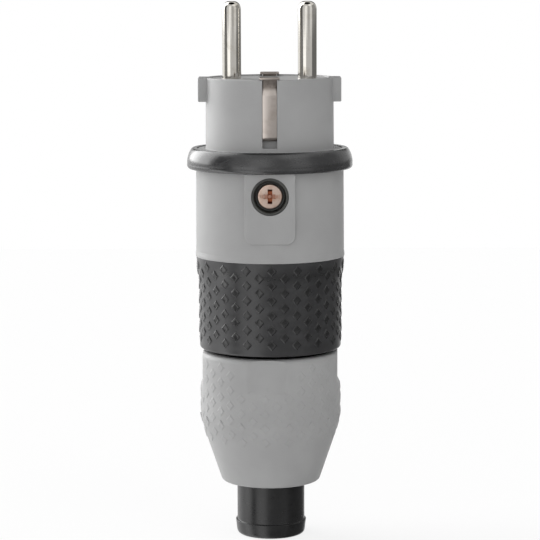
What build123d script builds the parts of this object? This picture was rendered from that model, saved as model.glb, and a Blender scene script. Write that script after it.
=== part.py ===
from build123d import *

import os
from math import atan2, cos, degrees, radians, sin, tan

# Weatherproof power plug, standing on its cable sleeve with the pins up.
# Millimetres. Z is the plug's axis, the foot is at zero, the locking screw
# faces -Y and the two pins stand apart along X.

# Heights stacked from the foot up
sleeve_out = 14.1
nut_height = 33.65
neck_ring_height = 0.8
grip_height = 23.45
shell_height = 22.2
ring_height = 5.2
insert_rise = 17.7
pin_length = 19.0

z_nut = sleeve_out
z_neck = z_nut + nut_height
z_grip = z_neck + neck_ring_height
z_shell = z_grip + grip_height
z_ring = z_shell + shell_height
z_rim = z_ring + ring_height
z_face = z_rim + insert_rise
z_tip = z_face + pin_length

# Clearances
fit_gap = 0.05  # pieces pressed or clipped together
slip_gap = 0.3  # pieces that move past each other

# Contact pins and the contacts' barrels
pin_pitch = 19.0
pin_radius = 2.4
pin_tip_rounding = 1.9
pin_root_swell = 0.3
barrel_radius = 3.7
barrel_length = 14.3
barrel_edge = 0.4
wire_radius = 1.6
wire_depth = 10.0
clamp_height = 5.0

# Screws of the contacts
clamp_screw_radius = 1.45
clamp_head_radius = 2.5
clamp_head_height = 1.6
clamp_reach = 0.6
slot_width = 0.7
slot_depth = 0.8

# Housing shell
shell_foot_radius = 18.75
shell_draft = 0.12
bead_proud = 0.13
bead_height = 0.5
spigot_step = 1.03
spigot_wall = 1.6
bore_foot = 4.5
shell_wall = 2.2
floor_height = 3.0
funnel_height = 6.0
throat_step = 2.4
throat_land = 2.0
neck_radius = 13.2
neck_wall = 2.8
neck_length = 14.55
neck_edge = 0.4
grip_seat_depth = 2.15

# Contact carrier
carrier_radius = 16.2
carrier_draft = 0.12
face_rim = 1.0
face_recess = 0.35
flange_overhang = 0.7
flange_height = 2.8
flange_edge = 0.4
base_below_rim = 1.1
skirt_gap = 0.4
skirt_wall = 1.6
skirt_depth = 18.3
lug_proud = 1.75
lug_height = 6.0
lug_depth = 8.0
lug_edge = 0.5
guide_width = 5.2
guide_depth = 3.2
spring_slot_width = 3.75
spring_slot_depth = 2.07
spring_slot_length = 16.8

# Earth contacts
earth_offset = 10.0
earth_bore_radius = 2.45
earth_wall = 0.45
earth_bore_depth = 17.0
earth_recess = 0.3
earth_terminal_offset = 4.6
bar_width = 5.0
bar_thickness = 1.2
strip_width = 3.4
strip_thickness = 0.6
strip_length = 14.2
strip_neck = 1.6
strip_shoulder = 3.8
strip_curl = 0.6
strip_inset = 0.15
strip_dip = 0.85
strip_rounding = 0.9
strap_width = 4.7
strap_proud = 0.1
strap_edge = 0.25
leg_wall = 0.45

# Rear plate that keeps the contacts in the carrier
plate_thickness = 2.0
post_radius = 2.2
post_x = 5.4
post_y = -6.3
plate_screw_radius = 1.1
plate_head_radius = 1.9
plate_head_height = 1.2
plate_screw_length = 9.0

# Rubber seal ring
ring_land = 0.15
ring_wall = 1.45
ring_mid_swell = 0.88
ring_max_swell = 1.16
ring_foot_swell = 0.6
ring_mid_drop = 1.85
ring_max_drop = 4.0

# Flat pad and locking screw on the front
pad_width = 12.5
pad_proud = 0.32
pad_foot = 4.8
pad_corner = 2.2
lock_drop = 5.6
boss_width = 12.0
boss_depth = 1.8
boss_below = 6.4
bush_radius = 4.6
bush_wall = 0.63
bush_floor = 0.8
bush_seat = 1.2
lock_radius = 1.75
lock_head_radius = 3.1
lock_head_height = 1.6
lock_head_edge = 0.35
lock_length = 7.0
cross_span = 3.9
cross_width = 1.1
cross_depth = 0.9
nut_side = 7.0
nut_thickness = 2.7
nut_cover = 1.0
nut_back_wall = 2.0

# Grip sleeve and its diamonds
grip_wall = 1.3
grip_foot_bevel = 0.95
grip_foot_slope = 1.0
grip_waist_swell = 0.65
grip_top_swell = 0.9
grip_taper_height = 6.3
grip_waist_height = 3.4
diamond_columns = 36
diamond_turn = 1.3
diamond_pitch = 3.72
diamond_first = 3.0
diamond_width = 2.6
diamond_height = 2.9
diamond_bevel = 0.36
diamond_relief = 0.24
diamond_root = 0.25

# Ring in the gap above the gland nut
neck_ring_wall = 2.3

# Gland nut
nut_wall = 4.3
nut_foot_wall = 3.53
nut_foot_rounding = 1.0
nut_top_rounding = 0.9
nut_cone_height = 12.4
nut_cone_inset = 1.05
nut_belt = 16.6
nut_belt_rounding = 3.0
nut_chamber_step = 1.8
nut_lip = 4.4
flat_recess = 0.75
flat_height = 6.95
flat_slope = 1.6
flat_count = 4
flat_turn = 3.3

# Cable sleeve
sleeve_radius = 8.62
sleeve_draft = 0.1
sleeve_wall = 3.42
sleeve_flange_height = 3.0
sleeve_rim_proud = 0.41
sleeve_rim_height = 3.4
sleeve_rim_rise = 1.0
sleeve_foot_rounding = 1.1
sleeve_mouth = 0.6
sleeve_play = 0.4

# Pieces inside the gland
wedge_height = 9.0
wedge_mouth = 0.7
cage_flange_inset = 0.6
cage_flange_height = 2.4
cage_spigot = 2.0
cage_bore_play = 0.4
cage_finger_drop = 7.4
cage_finger_wall = 2.4
cage_slots = 6
cage_slot_width = 1.6
seal_bore_play = 0.2
seal_groove = 0.8
seal_grooves = 3

# Radii worked out from the sizes above
shell_top_radius = shell_foot_radius - shell_draft
bead_radius = shell_foot_radius + bead_proud
spigot_radius = shell_top_radius - spigot_step
bore_radius = spigot_radius - spigot_wall
grip_seat_radius = shell_foot_radius - grip_seat_depth
inner_radius = grip_seat_radius - shell_wall
neck_bore_radius = neck_radius - neck_wall
throat_radius = neck_bore_radius - throat_step
flange_radius = spigot_radius + flange_overhang
skirt_radius = bore_radius - skirt_gap
lug_reach = carrier_radius + lug_proud
spring_slot_floor = carrier_radius - spring_slot_depth
leg_radius = spring_slot_floor - leg_wall
leg_inner = leg_radius - strip_thickness
ring_top_radius = flange_radius + fit_gap + ring_wall
grip_radius = grip_seat_radius + fit_gap + grip_wall
nut_radius = neck_radius + slip_gap + nut_wall
nut_chamber_radius = neck_radius + slip_gap - nut_chamber_step
nut_exit_radius = sleeve_radius + sleeve_play
flat_reach = nut_radius - flat_recess
sleeve_bore_radius = sleeve_radius - sleeve_wall
cage_bore_radius = sleeve_bore_radius + cage_bore_play
cage_finger_foot = cage_bore_radius + cage_finger_wall
bush_bore_radius = bush_radius - bush_wall

# Places worked out from the sizes above
pin_x = pin_pitch / 2
z_seat = z_face - face_recess
z_flange = z_rim - ring_land - flange_height
z_base = z_rim - base_below_rim
z_barrel = z_base - barrel_length
z_clamp = z_barrel + clamp_height
z_bar = z_base - bar_thickness
z_skirt = z_flange - skirt_depth
z_plate = z_barrel - plate_thickness
z_lock = z_ring - lock_drop
z_shoulder = z_nut + nut_lip
z_sleeve_top = z_shoulder + sleeve_flange_height
z_neck_end = z_grip - neck_length
z_throat = z_grip - throat_land
pad_face = shell_top_radius + pad_proud
boss_face = bore_radius - boss_depth
bush_back = boss_face + bush_seat
head_seat = bush_back + bush_floor
nut_outer = boss_face - slip_gap - nut_cover
boss_inner = nut_outer - nut_thickness - nut_back_wall

# Outside of the grip sleeve as heights and radii
grip_stations = [
    (z_grip, grip_radius - grip_foot_bevel),
    (z_grip + grip_foot_slope / 3, grip_radius - grip_foot_bevel / 2),
    (z_grip + grip_foot_slope, grip_radius - grip_foot_bevel / 8),
    (z_grip + 2 * grip_foot_slope, grip_radius),
    (z_shell - grip_taper_height, grip_radius),
    (z_shell - grip_waist_height, grip_radius + grip_waist_swell),
    (z_shell, grip_radius + grip_top_swell),
]


def rounded_face(corners):
    """Closed face in the XZ plane from (radius, height) or (radius, height, rounding) corners."""
    edges = []
    stops = []
    for here, corner in enumerate(corners):
        point = Vector(corner[0], 0, corner[1])
        before = Vector(corners[here - 1][0], 0, corners[here - 1][1])
        after_corner = corners[(here + 1) % len(corners)]
        after = Vector(after_corner[0], 0, after_corner[1])
        rounding = corner[2] if len(corner) > 2 else 0
        if not rounding:
            stops.append((point, point))
            continue
        back = (before - point).normalized()
        ahead = (after - point).normalized()
        half = radians(back.get_angle(ahead)) / 2
        setback = rounding / tan(half)
        bisector = (back + ahead).normalized()
        middle = point + bisector * (rounding / sin(half) - rounding)
        first = point + back * setback
        last = point + ahead * setback
        edges.append(ThreePointArc(first, middle, last))
        stops.append((first, last))
    for here, (first, last) in enumerate(stops):
        start = stops[here - 1][1]
        if (first - start).length > 1e-6:
            edges.append(Line(start, first))
    return make_face(edges)


def turned(*corners):
    """Solid of revolution about Z."""
    return revolve(rounded_face(corners), Axis.Z)


def rod(radius, bottom, top, x=0.0, y=0.0):
    """Upright cylinder between two heights."""
    return Pos(x, y, bottom) * Cylinder(radius, top - bottom, align=(Align.CENTER, Align.CENTER, Align.MIN))


def level_rod(radius, y_near, y_far, height, x=0.0):
    """Cylinder along Y between two places."""
    middle = (y_near + y_far) / 2
    return Pos(x, middle, height) * Rot(90, 0, 0) * Cylinder(radius, abs(y_far - y_near))


def block(x_range, y_range, z_range):
    """Box between the ends of three ranges."""
    size = [end - start for start, end in (x_range, y_range, z_range)]
    place = [(end + start) / 2 for start, end in (x_range, y_range, z_range)]
    return Pos(*place) * Box(*size)


def wide(width):
    """Range of a width centred on zero."""
    return (-width / 2, width / 2)


# Contacts
def barrel(top, x, y):
    """Barrel of a contact with its wire hole and its clamping screw's hole."""
    body = rod(barrel_radius, z_barrel, top, x, y)
    body = chamfer(body.edges().filter_by(GeomType.CIRCLE), barrel_edge)
    body -= rod(wire_radius, z_barrel, z_barrel + wire_depth, x, y)
    body -= level_rod(clamp_screw_radius + fit_gap, y, y + barrel_radius, z_clamp, x)
    return body


def contact_pin(side):
    """Turned pin whose lower end is the wire's barrel."""
    shaft = rod(pin_radius, z_base, z_tip, side * pin_x)
    shaft = fillet(shaft.edges().group_by(Axis.Z)[-1], pin_tip_rounding)
    root = rod(pin_radius + pin_root_swell, z_base, z_seat, side * pin_x)
    return barrel(z_base, side * pin_x, 0) + shaft + root


def terminal_screws():
    """Three cheese-headed screws that clamp the wires."""
    screws = []
    for x, y in ((-pin_x, 0), (pin_x, 0), (0, earth_terminal_offset)):
        seat = y + barrel_radius + fit_gap
        head_end = seat + clamp_head_height
        screw = level_rod(clamp_screw_radius, y + clamp_reach, seat, z_clamp, x)
        screw += level_rod(clamp_head_radius, seat, head_end, z_clamp, x)
        screw -= Pos(x) * block(wide(slot_width), (head_end - slot_depth, head_end), (
            z_clamp - clamp_head_radius, z_clamp + clamp_head_radius))
        screws.append(screw)
    return Compound(children=[screw.solid() for screw in screws])


def earth_receptacle():
    """Closed-ended tube that takes the socket's earth pin."""
    top = z_seat - earth_recess
    tube = rod(earth_bore_radius + earth_wall, z_base, top, 0, earth_offset)
    tube -= rod(earth_bore_radius, top - earth_bore_depth, top, 0, earth_offset)
    mouth = tube.edges().filter_by(GeomType.CIRCLE).group_by(Axis.Z)[-1].sort_by(SortBy.RADIUS)[0]
    return chamfer(mouth, earth_wall / 2)


def earth_bar():
    """Strip under the carrier's base that joins the earth contacts."""
    bar = block(wide(bar_width), (-leg_radius, leg_radius), (z_bar, z_base))
    return fillet(bar.edges().filter_by(Axis.Z), strip_thickness)


def earth_spring(side):
    """Sheet strip: leg through the carrier, strap over its rim and sprung outer blade."""
    low = z_face + fit_gap
    join = low + strip_thickness / 2
    bottom = z_face - strip_length
    crest = carrier_radius - strip_inset
    dip = crest - strip_dip
    outline = [(dip, join), (dip, z_face - strip_neck, strip_rounding),
               (crest, z_face - strip_shoulder, strip_rounding),
               (crest, bottom + strip_curl, strip_rounding), (dip, bottom)]
    back = [(corner[0] - strip_thickness, *corner[1:]) for corner in reversed(outline)]
    blade = extrude(rounded_face(outline + back), amount=strip_width / 2, both=True)
    strap = block((leg_inner, carrier_radius + strap_proud), wide(strap_width), (low, low + strip_thickness))
    strap = fillet(strap.edges().group_by(Axis.Z)[-1], strap_edge)
    leg = block((leg_inner, leg_radius), wide(strip_width), (z_base, join))
    return Rot(0, 0, side * 90) * (blade + strap + leg)


# Contact carrier
def contact_carrier():
    """Moulded carrier with flange, keyed lugs, spring slots, skirt and posts."""
    foot_radius = carrier_radius + carrier_draft
    body = turned((0, z_base), (bore_radius - fit_gap, z_base), (bore_radius - fit_gap, z_flange),
                  (flange_radius, z_flange), (flange_radius, z_flange + flange_height, flange_edge),
                  (foot_radius, z_flange + flange_height), (carrier_radius, z_face), (0, z_face))
    lug = block(wide(2 * lug_reach), wide(lug_depth), (z_face - lug_height, z_face))
    lug = fillet(lug.edges().filter_by(Axis.Z), lug_edge)
    body += lug
    body -= turned((0, z_seat), (carrier_radius - face_rim, z_seat),
                   (carrier_radius - face_rim, z_face), (0, z_face))
    for side in (-1, 1):
        inner = lug_reach - guide_depth
        body -= block(sorted((side * inner, side * (lug_reach + 1))), wide(guide_width),
                      (z_rim - ring_land, z_face))
        slot = block(wide(spring_slot_width), sorted((side * spring_slot_floor, side * (carrier_radius + 1))),
                     (z_face - spring_slot_length, z_face))
        body -= slot
        body -= block(wide(strip_width + 2 * fit_gap),
                      sorted((side * (leg_inner - fit_gap), side * (leg_radius + fit_gap))), (z_base, z_face))
        body -= rod(pin_radius + pin_root_swell + fit_gap, z_base, z_face, side * pin_x)
    body -= rod(earth_bore_radius + earth_wall + fit_gap, z_base, z_face, 0, earth_offset)
    return body + carrier_skirt() + nut_boss() + posts()


def carrier_skirt():
    """Half-open wall round the contacts, notched where the housing's boss stands."""
    skirt = rod(skirt_radius, z_skirt, z_base) - rod(skirt_radius - skirt_wall, z_skirt, z_base)
    skirt -= block(wide(boss_width + 2 * slip_gap), (-bore_radius, 0), (z_skirt, z_base))
    skirt -= block(wide(2 * skirt_radius), (barrel_radius, bore_radius), (z_skirt, z_bar))
    skirt -= bar_channel()
    return skirt


def bar_channel():
    """Room for the earth bar under the base."""
    return block(wide(bar_width + 2 * fit_gap), wide(2 * bore_radius), (z_bar, z_base))


def nut_boss():
    """Leg that holds the locking screw's square nut."""
    half = nut_side / 2 + fit_gap
    boss = block(wide(boss_width - 2 * fit_gap), (-(boss_face - slip_gap), -boss_inner),
                 (z_lock - boss_below, z_base))
    boss -= block((-half, half), (-nut_outer, -(nut_outer - nut_thickness - 2 * fit_gap)),
                  (z_lock - boss_below, z_lock + half))
    boss -= level_rod(lock_radius + fit_gap, -boss_face, -boss_inner, z_lock)
    return boss - bar_channel()


def posts():
    """Posts that the rear plate is screwed to."""
    pair = Part()
    for side in (-1, 1):
        post = rod(post_radius, z_barrel, z_base, side * post_x, post_y)
        pair += post - rod(plate_screw_radius + fit_gap, z_barrel, z_plate + plate_screw_length,
                           side * post_x, post_y)
    return pair


def rear_plate():
    """Plate under the barrels with the wires' entries."""
    plate = rod(skirt_radius - skirt_wall - fit_gap, z_plate, z_barrel)
    plate -= block(wide(boss_width + 2 * fit_gap), (-bore_radius, -(boss_inner - slip_gap)), (z_plate, z_barrel))
    for x, y in ((-pin_x, 0), (pin_x, 0), (0, earth_terminal_offset)):
        entry = rod(wire_radius + slip_gap, z_plate, z_barrel, x, y)
        plate -= entry
    for side in (-1, 1):
        plate -= rod(plate_screw_radius + fit_gap, z_plate, z_barrel, side * post_x, post_y)
    return plate


def plate_screws():
    """Two pan-headed screws of the rear plate."""
    screws = []
    for side in (-1, 1):
        x = side * post_x
        screw = rod(plate_screw_radius, z_plate, z_plate + plate_screw_length, x, post_y)
        head = rod(plate_head_radius, z_plate - plate_head_height, z_plate, x, post_y)
        head -= Pos(x, post_y) * block(wide(slot_width), wide(2 * plate_head_radius), (
            z_plate - plate_head_height, z_plate - plate_head_height / 2))
        screws.append((screw + head).solid())
    return Compound(children=screws)


# Housing
def seal_ring():
    """Rubber ring with a bulged outside, gripping the flange and the housing's spigot."""
    top = (ring_top_radius, 0, z_rim)
    mid = (ring_top_radius + ring_mid_swell, 0, z_rim - ring_mid_drop)
    widest = (ring_top_radius + ring_max_swell, 0, z_rim - ring_max_drop)
    foot = (ring_top_radius + ring_foot_swell, 0, z_ring)
    bulge = ThreePointArc(top, mid, widest)
    curl = TangentArc(widest, foot, tangent=bulge % 1)
    inside = Polyline(foot, (spigot_radius + fit_gap, 0, z_ring), (spigot_radius + fit_gap, 0, z_flange),
                      (flange_radius + fit_gap, 0, z_flange), (flange_radius + fit_gap, 0, z_rim), top)
    return revolve(make_face([bulge, curl, inside]), Axis.Z)


def housing_shell():
    """Moulded housing from the seal ring's spigot down to the gland's neck."""
    outside = turned((0, z_neck_end), (neck_radius, z_neck_end, neck_edge), (neck_radius, z_grip),
                     (grip_seat_radius, z_grip), (grip_seat_radius, z_shell), (bead_radius, z_shell),
                     (bead_radius, z_shell + bead_height), (shell_foot_radius, z_shell + bead_height),
                     (shell_top_radius, z_ring), (spigot_radius, z_ring), (spigot_radius, z_flange),
                     (0, z_flange))
    pad = block(wide(pad_width), (-pad_face, -spigot_radius), (z_shell + pad_foot, z_ring))
    pad = fillet(pad.edges().filter_by(Axis.Y).group_by(Axis.Z)[0], pad_corner)
    outside += pad
    z_cavity = z_grip + floor_height
    z_step = z_shell + bore_foot
    cavity = turned((0, z_throat), (throat_radius, z_throat), (throat_radius, z_cavity),
                    (inner_radius, z_cavity + funnel_height), (inner_radius, z_step - (bore_radius - inner_radius)),
                    (bore_radius, z_step), (bore_radius, z_flange), (0, z_flange))
    boss = block(wide(boss_width), (-bore_radius, -boss_face), (z_lock - boss_below, z_flange))
    boss &= rod(bore_radius + fit_gap, z_lock - boss_below, z_flange)
    shell = outside - cavity + boss
    shell -= rod(neck_bore_radius, z_neck_end, z_throat)
    shell -= level_rod(bush_radius + fit_gap, -pad_face, -bush_back, z_lock)
    shell -= level_rod(lock_radius + fit_gap, -pad_face, -boss_face, z_lock)
    return shell


def screw_bush():
    """Rubber cup round the locking screw's head."""
    cup = level_rod(bush_radius, -pad_face, -bush_back, z_lock)
    cup -= level_rod(bush_bore_radius, -pad_face, -head_seat, z_lock)
    cup -= level_rod(lock_radius + fit_gap, -pad_face, -bush_back, z_lock)
    mouth = cup.edges().filter_by(GeomType.CIRCLE).group_by(Axis.Y)[0]
    return chamfer(mouth, (bush_radius - bush_bore_radius) / 4)


def lock_screw():
    """Cross-recessed screw that holds the carrier in the housing."""
    head_face = head_seat + lock_head_height
    head = level_rod(lock_head_radius, -head_face, -head_seat, z_lock)
    head = fillet(head.edges().group_by(Axis.Y)[0], lock_head_edge)
    head += level_rod(lock_radius, -head_seat, -(head_seat - lock_length), z_lock)
    for turn in (0, 90):
        arm = Box(cross_span, 2 * cross_depth, cross_width)
        head -= Pos(0, -head_face, z_lock) * Rot(0, turn, 0) * arm
    return head


def lock_nut():
    """Square nut in the carrier's boss."""
    nut = block(wide(nut_side), (-(nut_outer - fit_gap), -(nut_outer - fit_gap - nut_thickness)),
                (z_lock - nut_side / 2, z_lock + nut_side / 2))
    return nut - level_rod(lock_radius + fit_gap, -boss_face, -boss_inner, z_lock)


def grip_surface(height):
    """Radius and lean in degrees of the grip sleeve's outside at a height."""
    for (low, low_radius), (high, high_radius) in zip(grip_stations, grip_stations[1:]):
        if height <= high:
            break
    share = (height - low) / (high - low)
    lean = degrees(atan2(high_radius - low_radius, high - low))
    return low_radius + share * (high_radius - low_radius), lean


def diamond():
    """Bevelled rhombus, lying in the XY plane and rising along Z."""
    spread = diamond_bevel * diamond_root / diamond_relief
    levels = ((-diamond_root, spread), (diamond_relief, -diamond_bevel))
    faces = []
    for height, grow in levels:
        half_width = diamond_width / 2 + grow
        half_height = diamond_height / 2 + grow * diamond_height / diamond_width
        rhombus = Polyline((half_width, 0), (0, half_height), (-half_width, 0), (0, -half_height), close=True)
        faces.append(Pos(0, 0, height) * make_face(rhombus))
    return loft(faces)


def grip_diamonds():
    """Staggered columns of diamonds over the grip sleeve."""
    stud = diamond()
    studs = []
    for column in range(diamond_columns):
        azimuth = diamond_turn + column * 360 / diamond_columns - 90
        height = z_grip + diamond_first + (column % 2) * diamond_pitch / 2
        while height + diamond_height / 2 < z_shell:
            radius, lean = grip_surface(height)
            place = Rot(0, 0, azimuth) * Pos(radius, 0, height) * Rot(0, 90 + lean, 0) * Rot(0, 0, 90)
            studs.append(place * stud)
            height += diamond_pitch
    return studs


def grip_section(height, radius):
    """Section of the grip sleeve with one flat for each column of diamonds."""
    turn = diamond_turn + 180 / diamond_columns - 90
    corner_radius = radius / cos(radians(180 / diamond_columns))
    return Pos(0, 0, height) * Rot(0, 0, turn) * RegularPolygon(corner_radius, diamond_columns)


def grip_sleeve():
    """Soft sleeve over the housing's lower half, waisted under the shell and studded."""
    sections = [grip_section(height, radius) for height, radius in grip_stations]
    sleeve = loft(sections, ruled=True)
    sleeve -= rod(grip_seat_radius + fit_gap, z_grip, z_shell)
    return sleeve.fuse(*grip_diamonds())


def neck_ring():
    """Flat ring in the gap between the grip sleeve and the gland nut."""
    bore = neck_radius + fit_gap
    return rod(bore + neck_ring_wall, z_neck, z_grip) - rod(bore, z_neck, z_grip)


# Gland
def gland_nut():
    """Nut with four flats at its top, a belt and a cone down to the sleeve."""
    nut = turned((nut_exit_radius, z_nut), (nut_exit_radius + nut_foot_wall, z_nut, nut_foot_rounding),
                 (nut_radius - nut_cone_inset, z_nut + nut_cone_height),
                 (nut_radius, z_nut + nut_belt, nut_belt_rounding),
                 (nut_radius, z_neck, nut_top_rounding), (neck_radius + slip_gap, z_neck),
                 (neck_radius + slip_gap, z_neck_end - cage_flange_height - slip_gap),
                 (nut_chamber_radius, z_neck_end - cage_flange_height - slip_gap),
                 (nut_chamber_radius, z_shoulder), (nut_exit_radius, z_shoulder))
    for index in range(flat_count):
        nut -= Rot(0, 0, index * 360 / flat_count - flat_turn) * flat_cut()
    return nut


def flat_cut():
    """Cut for one flat, down from the nut's top edge on the +X side, with a coned end."""
    low = z_neck - flat_height - flat_slope
    cut = block((flat_reach, nut_radius + 1), wide(nut_radius), (low, z_neck + 1))
    return cut - turned((0, low), (nut_radius, low), (flat_reach, low + flat_slope), (0, low + flat_slope))


def wedge_ring():
    """Ring whose cone closes the cage's fingers on the cable."""
    outer = nut_chamber_radius - slip_gap
    top = z_sleeve_top + wedge_height
    reach = neck_bore_radius + slip_gap
    return turned((cage_bore_radius, z_sleeve_top), (outer, z_sleeve_top), (outer, top),
                  (reach, top), (cage_finger_foot + slip_gap, z_sleeve_top + wedge_mouth),
                  (cage_bore_radius, z_sleeve_top + wedge_mouth))


def clamp_cage():
    """Cage with slotted fingers under the housing's neck."""
    z_flange_foot = z_neck_end - cage_flange_height
    flange = neck_radius - cage_flange_inset
    spigot = neck_bore_radius - fit_gap
    z_tips = z_flange_foot - cage_finger_drop
    cage = turned((cage_bore_radius, z_tips), (cage_finger_foot, z_tips), (neck_bore_radius, z_flange_foot),
                  (flange, z_flange_foot), (flange, z_neck_end),
                  (spigot, z_neck_end), (spigot, z_neck_end + cage_spigot),
                  (cage_bore_radius, z_neck_end + cage_spigot))
    for index in range(cage_slots):
        slot = block((0, flange), wide(cage_slot_width), (z_tips, z_flange_foot))
        cage -= Rot(0, 0, index * 360 / cage_slots) * slot
    return cage


def cable_seal():
    """Rubber bush in the throat, grooved inside."""
    outer = neck_bore_radius - fit_gap
    z_low = z_neck_end + cage_spigot
    bore = sleeve_bore_radius + seal_bore_play
    seal = rod(outer, z_low, z_throat) - rod(bore, z_low, z_throat)
    step = (z_throat - z_low) / (seal_grooves + 1)
    for index in range(seal_grooves):
        middle = z_low + (index + 1) * step
        seal -= rod(bore + seal_groove, middle - seal_groove, middle + seal_groove)
    return seal


def cable_sleeve():
    """Rubber sleeve for the cable, flanged inside the nut and rimmed at its foot."""
    outer = nut_chamber_radius - slip_gap
    rim = sleeve_radius + sleeve_rim_proud
    return turned((sleeve_bore_radius + sleeve_mouth, 0), (sleeve_radius, 0, sleeve_foot_rounding),
                  (rim, sleeve_rim_height), (sleeve_radius + sleeve_draft, sleeve_rim_height + sleeve_rim_rise),
                  (sleeve_radius, z_nut), (sleeve_radius, z_shoulder), (outer, z_shoulder),
                  (outer, z_sleeve_top), (sleeve_bore_radius, z_sleeve_top), (sleeve_bore_radius, sleeve_mouth))


parts = {
    "contact_carrier": contact_carrier(),
    "neutral_pin": contact_pin(-1),
    "line_pin": contact_pin(1),
    "earth_terminal": barrel(z_bar, 0, earth_terminal_offset),
    "terminal_screws": terminal_screws(),
    "earth_receptacle": earth_receptacle(),
    "earth_bar": earth_bar(),
    "front_earth_spring": earth_spring(-1),
    "rear_earth_spring": earth_spring(1),
    "rear_plate": rear_plate(),
    "plate_screws": plate_screws(),
    "seal_ring": seal_ring(),
    "housing_shell": housing_shell(),
    "grip_sleeve": grip_sleeve(),
    "screw_bush": screw_bush(),
    "lock_screw": lock_screw(),
    "lock_nut": lock_nut(),
    "neck_ring": neck_ring(),
    "gland_nut": gland_nut(),
    "wedge_ring": wedge_ring(),
    "clamp_cage": clamp_cage(),
    "cable_seal": cable_seal(),
    "cable_sleeve": cable_sleeve(),
}

os.makedirs("parts", exist_ok=True)
for name, part in parts.items():
    export_step(part, f"parts/{name}.step")
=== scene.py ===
import logging
from dataclasses import dataclass, field
from enum import Enum
from math import atan2, degrees, pi, radians, sin, tan, tau
from typing import Callable, Iterable, Sequence, Union

import bpy
from mathutils import Matrix, Vector


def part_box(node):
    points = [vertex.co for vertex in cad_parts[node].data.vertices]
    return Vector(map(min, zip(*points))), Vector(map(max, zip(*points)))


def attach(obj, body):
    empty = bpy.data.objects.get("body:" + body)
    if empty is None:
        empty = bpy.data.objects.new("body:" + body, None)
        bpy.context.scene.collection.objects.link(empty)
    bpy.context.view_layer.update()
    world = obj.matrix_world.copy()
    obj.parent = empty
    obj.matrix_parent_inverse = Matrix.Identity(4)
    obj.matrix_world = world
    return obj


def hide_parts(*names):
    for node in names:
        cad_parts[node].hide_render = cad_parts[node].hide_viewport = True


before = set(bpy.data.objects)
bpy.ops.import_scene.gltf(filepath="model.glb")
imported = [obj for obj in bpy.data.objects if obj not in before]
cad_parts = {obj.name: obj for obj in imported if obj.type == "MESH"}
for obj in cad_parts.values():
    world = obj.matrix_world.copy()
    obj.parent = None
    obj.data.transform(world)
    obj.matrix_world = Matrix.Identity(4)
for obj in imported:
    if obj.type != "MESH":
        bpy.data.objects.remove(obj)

log = logging.getLogger("plug")
MM = 0.001
Piece = bpy.types.Object
Material = bpy.types.Material
Corner = tuple[float, ...]
Span = tuple[float, float]
Rgba = tuple[float, float, float, float]
Sockets = dict[int | str, object]
Number = Union[int, float, "Value"]


class Body(Enum):
    """Rigid bodies of the frame that pieces ride on."""

    PLUG = "plug"
    SLEEVE = "sleeve"
    NUT = "nut"


class Slot(Enum):
    """Material slots."""

    CARRIER = "carrier_grey"
    HOUSING = "housing_grey"
    NUT = "nut_grey"
    PIN = "nickel_pin"
    SPRING = "spring_metal"
    LOCK = "lock_screw"
    RING = "ring_rubber"
    RUBBER = "black_rubber"
    GRIP = "grip_rubber"


# Shader building


class Value:
    """A shader socket that Python's operators work on."""

    def __init__(self, graph: "Graph", socket: bpy.types.NodeSocket) -> None:
        """Wraps a socket.

        Args:
            graph: The graph that new Math nodes go into.
            socket: The output socket to work on.
        """
        self.graph = graph
        self.socket = socket

    def _maths(self, operation: str, first: Number, second: Number = 0.0) -> "Value":
        """Adds one Math node and returns its result."""
        return self.graph.node("ShaderNodeMath", {"operation": operation}, {0: first, 1: second})

    def __add__(self, other: Number) -> "Value":
        """Sum."""
        return self._maths("ADD", self, other)

    __radd__ = __add__

    def __sub__(self, other: Number) -> "Value":
        """Difference."""
        return self._maths("SUBTRACT", self, other)

    def __rsub__(self, other: Number) -> "Value":
        """Reflected difference."""
        return self._maths("SUBTRACT", other, self)

    def __mul__(self, other: Number) -> "Value":
        """Product."""
        return self._maths("MULTIPLY", self, other)

    def __pow__(self, other: Number) -> "Value":
        """Power."""
        return self._maths("POWER", self, other)

    def size(self) -> "Value":
        """Absolute value."""
        return self._maths("ABSOLUTE", self)

    def rising(self, low: float, high: float) -> "Value":
        """Smooth step from 0 at low to 1 at high.

        Args:
            low: Where it is 0.
            high: Where it is 1.

        Returns:
            The step.
        """
        return self.graph.node(
            "ShaderNodeMapRange",
            {"interpolation_type": "SMOOTHSTEP", "clamp": True},
            {"Value": self, "From Min": low, "From Max": high, "To Min": 0.0, "To Max": 1.0},
        )

    def between(self, low: float, high: float, soft: float) -> "Value":
        """Mask that is 1 between low and high, with soft edges outside them."""
        return self.rising(low - soft, low) * (1 - self.rising(high, high + soft))


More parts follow.
